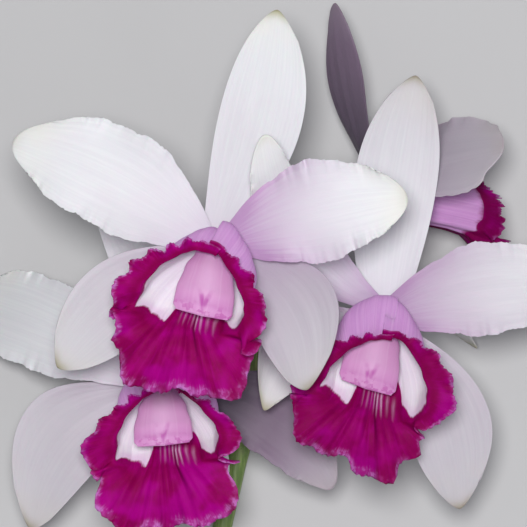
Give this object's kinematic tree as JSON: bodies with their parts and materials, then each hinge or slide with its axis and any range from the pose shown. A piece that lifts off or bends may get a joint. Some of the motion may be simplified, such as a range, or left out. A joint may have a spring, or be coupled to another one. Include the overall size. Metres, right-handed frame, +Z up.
{
  "type": "cattleya orchid",
  "caption": "Cut flowering spray of a cattleya orchid lying on its back, pale blooms with ruffled magenta lips facing up on a green stem.",
  "frame": {"origin": "centre of the bounding box's bottom face, on the surface that the spray lies on", "axes": "+Z up and out of the blooms' faces, +Y from the stem's cut end to the top of the spray, +X to the viewer's right when looking down on the blooms"},
  "size_m": [0.18, 0.2496, 0.0954],
  "materials": {
    "petal_white": "soft satin, living petal",
    "lip_magenta": "velvety, living petal",
    "column_pink": "waxy",
    "stem_green": "smooth fresh stem"
  },
  "bodies": {
    "root": {"front_bloom_dorsal_sepal": "petal_white", "front_bloom_left_sepal": "petal_white", "front_bloom_right_sepal": "petal_white", "front_bloom_left_petal": "petal_white", "front_bloom_right_petal": "petal_white", "front_bloom_lip": "lip_magenta", "front_bloom_column": "column_pink", "right_bloom_dorsal_sepal": "petal_white", "right_bloom_left_sepal": "petal_white", "right_bloom_right_sepal": "petal_white", "right_bloom_left_petal": "petal_white", "right_bloom_right_petal": "petal_white", "right_bloom_lip": "lip_magenta", "right_bloom_column": "column_pink", "lower_bloom_dorsal_sepal": "petal_white", "lower_bloom_left_sepal": "petal_white", "lower_bloom_right_sepal": "petal_white", "lower_bloom_left_petal": "petal_white", "lower_bloom_right_petal": "petal_white", "lower_bloom_lip": "lip_magenta", "lower_bloom_column": "column_pink", "rear_bloom_dorsal_sepal": "petal_white", "rear_bloom_left_sepal": "petal_white", "rear_bloom_right_sepal": "petal_white", "rear_bloom_left_petal": "petal_white", "rear_bloom_right_petal": "petal_white", "rear_bloom_lip": "lip_magenta", "rear_bloom_column": "column_pink", "flower_stem": "stem_green"}
  },
  "joints": []
}
